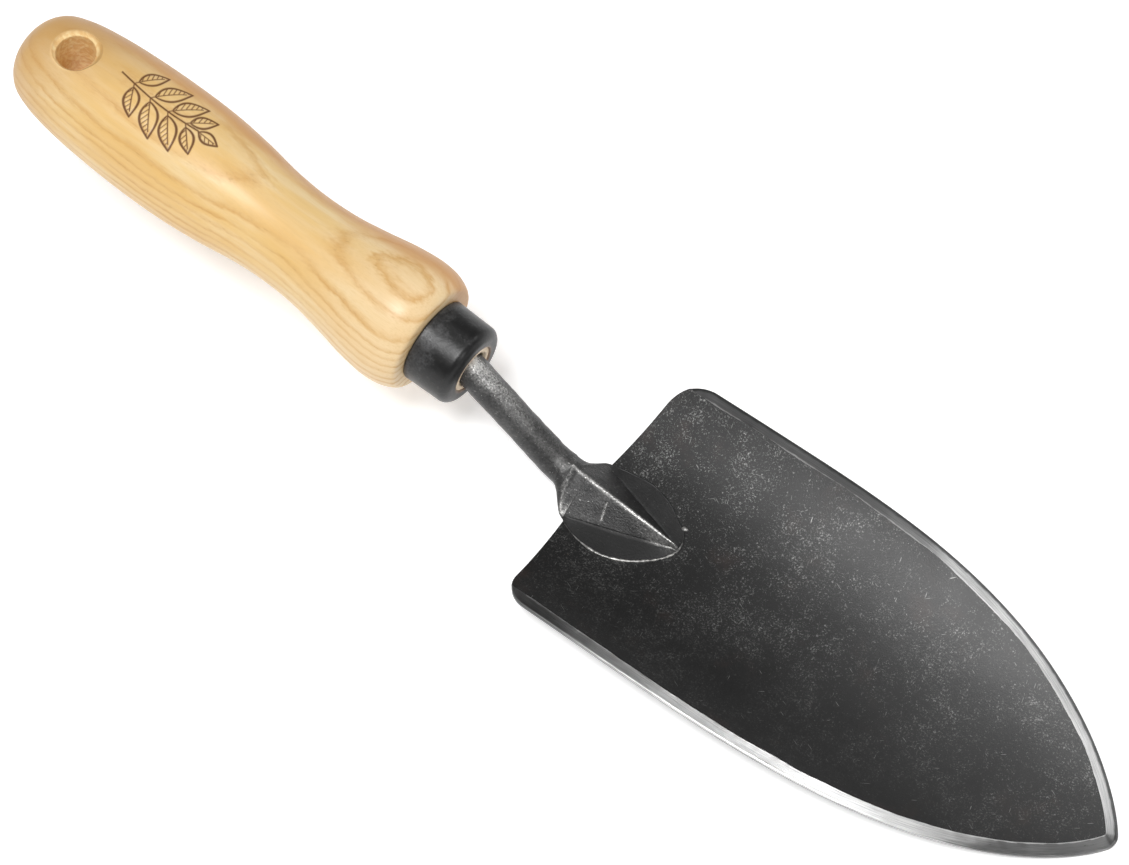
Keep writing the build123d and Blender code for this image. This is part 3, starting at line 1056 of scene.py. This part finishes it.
def nicked(points):
    """A nick in the facet on the -Y side: 1 along its middle, down to 0 at its sides."""
    chord = nick_end - nick_start
    from_start = points[..., :2] - [heel_x, 0] - nick_start
    share = np.clip(from_start @ chord / (chord @ chord), 0, 1)
    from_nick = np.linalg.norm(from_start - share[..., None] * chord, axis=-1)
    return np.clip(1 - from_nick / nick_half_width, 0, 1)


def worn_and_glint_marks(points, spin, creases):
    """Where the scale is worn off, on the ridge's crest and front, and painted highlights on the
    neck's top, strongest by the ferrule, and on the creases.
    """
    ahead, y = points[..., 0] - heel_x, points[..., 1]
    topside = np.clip(np.sin(spin), 0, 1) ** 6
    from_ferrule = (points[..., 0] - shoulder[0]) - ferrule_length
    # painted highlight: the neck's top is lightened, most near the ferrule, where the key light's
    # reflection falls
    neck = topside * (0.10 + 1.20 * np.exp(-np.clip(from_ferrule, 0, 99) / 9.0))
    crest = np.where(ahead > -4.4, np.exp(-((y / 0.40) ** 2)), neck)
    spread = np.exp(-(((y + 1.2) / 1.6) ** 2)) * np.clip((ahead - 14) / 8, 0, 1)
    # painted highlight on the creases of the -Y side, where light catches them
    most = np.maximum(crest, np.maximum(0.55 * spread, 0.6 * creases))
    return most * (0.75 + 0.40 * ripple(points, 7.0, 33))


def forging_body(steel):
    half_ring = ring_angles()
    spin = np.concatenate([half_ring, math.pi - half_ring[-2:0:-1]])
    rod, head = rod_sections(spin), head_sections()
    points = np.concatenate([rod, head[..., :3]])
    creases = np.concatenate([np.zeros(rod.shape[:2]), head[..., 3]])

    inside_handle = np.arange(len(points))[:, None] < 20
    free = np.clip((points[..., 2] - plate - 0.8) / 1.0, 0, 1)
    points = hammered(points, free * ~inside_handle)
    nick = nicked(points) * (free > 0.5)
    points[..., 2] -= nick_depth * nick
    wear = np.clip(worn_and_glint_marks(points, spin, creases) + 0.8 * nick, 0, 1.3)

    column = np.arange(len(spin))
    column = np.minimum(column, len(spin) - column)
    on_pad = (column > shares[0]) & (points[..., 0] - heel_x > -0.2)
    pad = np.where(points[..., 1] > 0, 0.8, 1.0) * on_pad
    body = skin("forging_body", points, values={"wear": wear, "pad": pad}, sharp=24)
    cap_ends(body)
    place(body, "forging", "forged_steel", steel)


# -------- weld
def weld_run(steel):
    """A lumpy bead round the pad, thinner on its +Y side and at its rear. Its colour is painted
    light and shade: black on its +Y side as shade, bare grey on its -Y side as light, and darker
    at its rear.
    """
    right, left = (flowing(pad_edges[flip]) * [1, flip] for flip in (1, -1))
    path = np.vstack([right, left[-2::-1]])
    total = run_length(path)[-1]
    at = np.arange(0, total, 0.2)
    plan = resampled(path, at)
    tangent = tangents_of(plan)
    outwards = np.stack([-tangent[:, 1], tangent[:, 0]], 1)
    thick = bead_half * (1 + 0.22 * ripple_along(at, 7.0, 41) + 0.10 * ripple_along(at, 2.2, 42))
    thick *= np.where(plan[:, 1] > 0, 0.8, np.clip((plan[:, 0] - 3) / 7, 0.25, 1))
    thick *= np.clip(np.minimum(at, total - at) / 1.5, 0.15, 1)
    wander = 0.10 + 0.08 * ripple_along(at, 6.0, 43)
    angles = full_turn(16)
    lateral = wander[:, None] + thick[:, None] * np.cos(angles)
    x = heel_x + np.maximum(plan[:, :1] + outwards[:, :1] * lateral, 0.05)
    y = plan[:, 1:] + outwards[:, 1:] * lateral
    z = face_height(y) + 0.10 + thick[:, None] * 1.05 * np.sin(angles)
    # painted light: 1 on the lit -Y side, 0 on the shaded +Y side, less at the rear
    clean = np.clip((2.5 - plan[:, 1]) / 3, 0, 1) * np.clip((plan[:, 0] - 2) / 8, 0.15, 1)
    tube = np.stack([x, y, np.maximum(z, face_height(y) - 0.3)], -1)
    bead = skin("weld_run", tube, values={"clean": clean[:, None] * np.ones(len(angles))})
    cap_ends(bead)
    place(bead, "weld_bead", "weld_steel", steel)


def weld_spatter(steel):
    """One drop that stands on the hollow face, beside the pad."""
    centre = np.array([heel_x + drop_ahead, drop_out, face_height(drop_out) + 0.25])
    polar, around = np.linspace(0, math.pi, 20)[:, None], full_turn(28)
    unit = np.stack([
        np.sin(polar) * np.cos(around),
        np.sin(polar) * np.sin(around),
        np.cos(polar) + 0 * around,
    ], -1)
    ball = unit * (drop_half + 0.08 * ripple(unit * 5, 6.0, 44))[..., None] * [1.15, 0.95, 0.75]
    # the drop is painted fairly lit
    drop = skin("weld_spatter", centre + ball, values={"clean": 0.7 * np.ones(ball.shape[:2])})
    place(drop, None, "weld_steel", steel)


# -------- studio
def floor():
    floor_half = 3000.0
    corners = np.array([[(-1, -1, 0), (1, -1, 0)], [(-1, 1, 0), (1, 1, 0)]], float)
    ground = skin("studio_floor", corners * floor_half, ring=False)
    ground.data.materials.append(studio_floor())


def sky():
    """White light from near the horizon, and little from above."""
    world = bpy.data.worlds.new("studio")
    bpy.context.scene.world = world
    world.use_nodes = True
    nodes, links = world.node_tree.nodes, world.node_tree.links
    around = nodes.new("ShaderNodeSeparateXYZ")
    links.new(nodes.new("ShaderNodeTexCoord").outputs["Generated"], around.inputs[0])
    shade = smooth_step(nodes, 0.06, 0.32, 0.85, 0.03)
    links.new(around.outputs[2], shade.inputs["Value"])
    nodes["Background"].inputs["Color"].default_value = (1, 1, 1, 1)
    links.new(shade.outputs[0], nodes["Background"].inputs["Strength"])


def from_angles(azimuth, elevation):
    """Direction out to an angle of view in degrees: azimuth 0 looks along +Y."""
    a, e = math.radians(azimuth), math.radians(elevation)
    return Vector((math.sin(a) * math.cos(e), -math.cos(a) * math.cos(e), math.sin(e)))


def softbox(name, azimuth, elevation, width, height, power, distance=1.4):
    """A rectangular lamp, in metres and watts, that faces the trowel."""
    data = bpy.data.lights.new(name, "AREA")
    data.shape = "RECTANGLE"
    data.size, data.size_y = width, height
    data.energy = power
    lamp = bpy.data.objects.new(name, data)
    bpy.context.scene.collection.objects.link(lamp)
    back = from_angles(azimuth, elevation)
    lamp.location = Vector((0, 0, 0.02)) + back * distance
    lamp.rotation_euler = (-back).to_track_quat("-Z", "Y").to_euler()


def camera():
    """The photograph's viewing angle, distance and tilt."""
    azimuth, elevation, roll = 43.34, 59.45, math.radians(-5.87)
    distance = 0.6605
    aim = Vector((cad_low + cad_high) / 2) + Vector((7.0, -0.5, -3.1)) * MM
    back = from_angles(azimuth, elevation)
    level = from_angles(azimuth + 90, 0)
    right = level * math.cos(roll) + back.cross(level) * math.sin(roll)
    data = bpy.data.cameras.new("camera")
    data.sensor_width = 36.0
    data.lens = 89.28
    data.clip_start, data.clip_end = 0.01, 20
    eye = bpy.data.objects.new("camera", data)
    bpy.context.scene.collection.objects.link(eye)
    turn = Matrix((right, back.cross(right), back)).transposed()
    eye.matrix_world = Matrix.Translation(aim + back * distance) @ turn.to_4x4()
    bpy.context.scene.camera = eye


camera()
floor()
sky()
softbox("key", 8, 73, 0.44, 0.44, 16.2)
softbox("fill", -50, 50, 0.9, 0.7, 3.0)
softbox("edge", 173, 64, 0.55, 0.13, 1.6)
softbox("point", 156, 38, 0.30, 0.30, 1.8)
softbox("neck", 80, 38, 0.24, 0.24, 3.0)
handle_grip(ash_wood())
ferrule_cap(ferrule_steel())
forging_body(forged_steel())
weld_metal = weld_steel()
weld_run(weld_metal)
weld_spatter(weld_metal)
blade_plate(scale_steel(), ground_steel())

bpy.context.scene.view_settings.view_transform = "Standard"
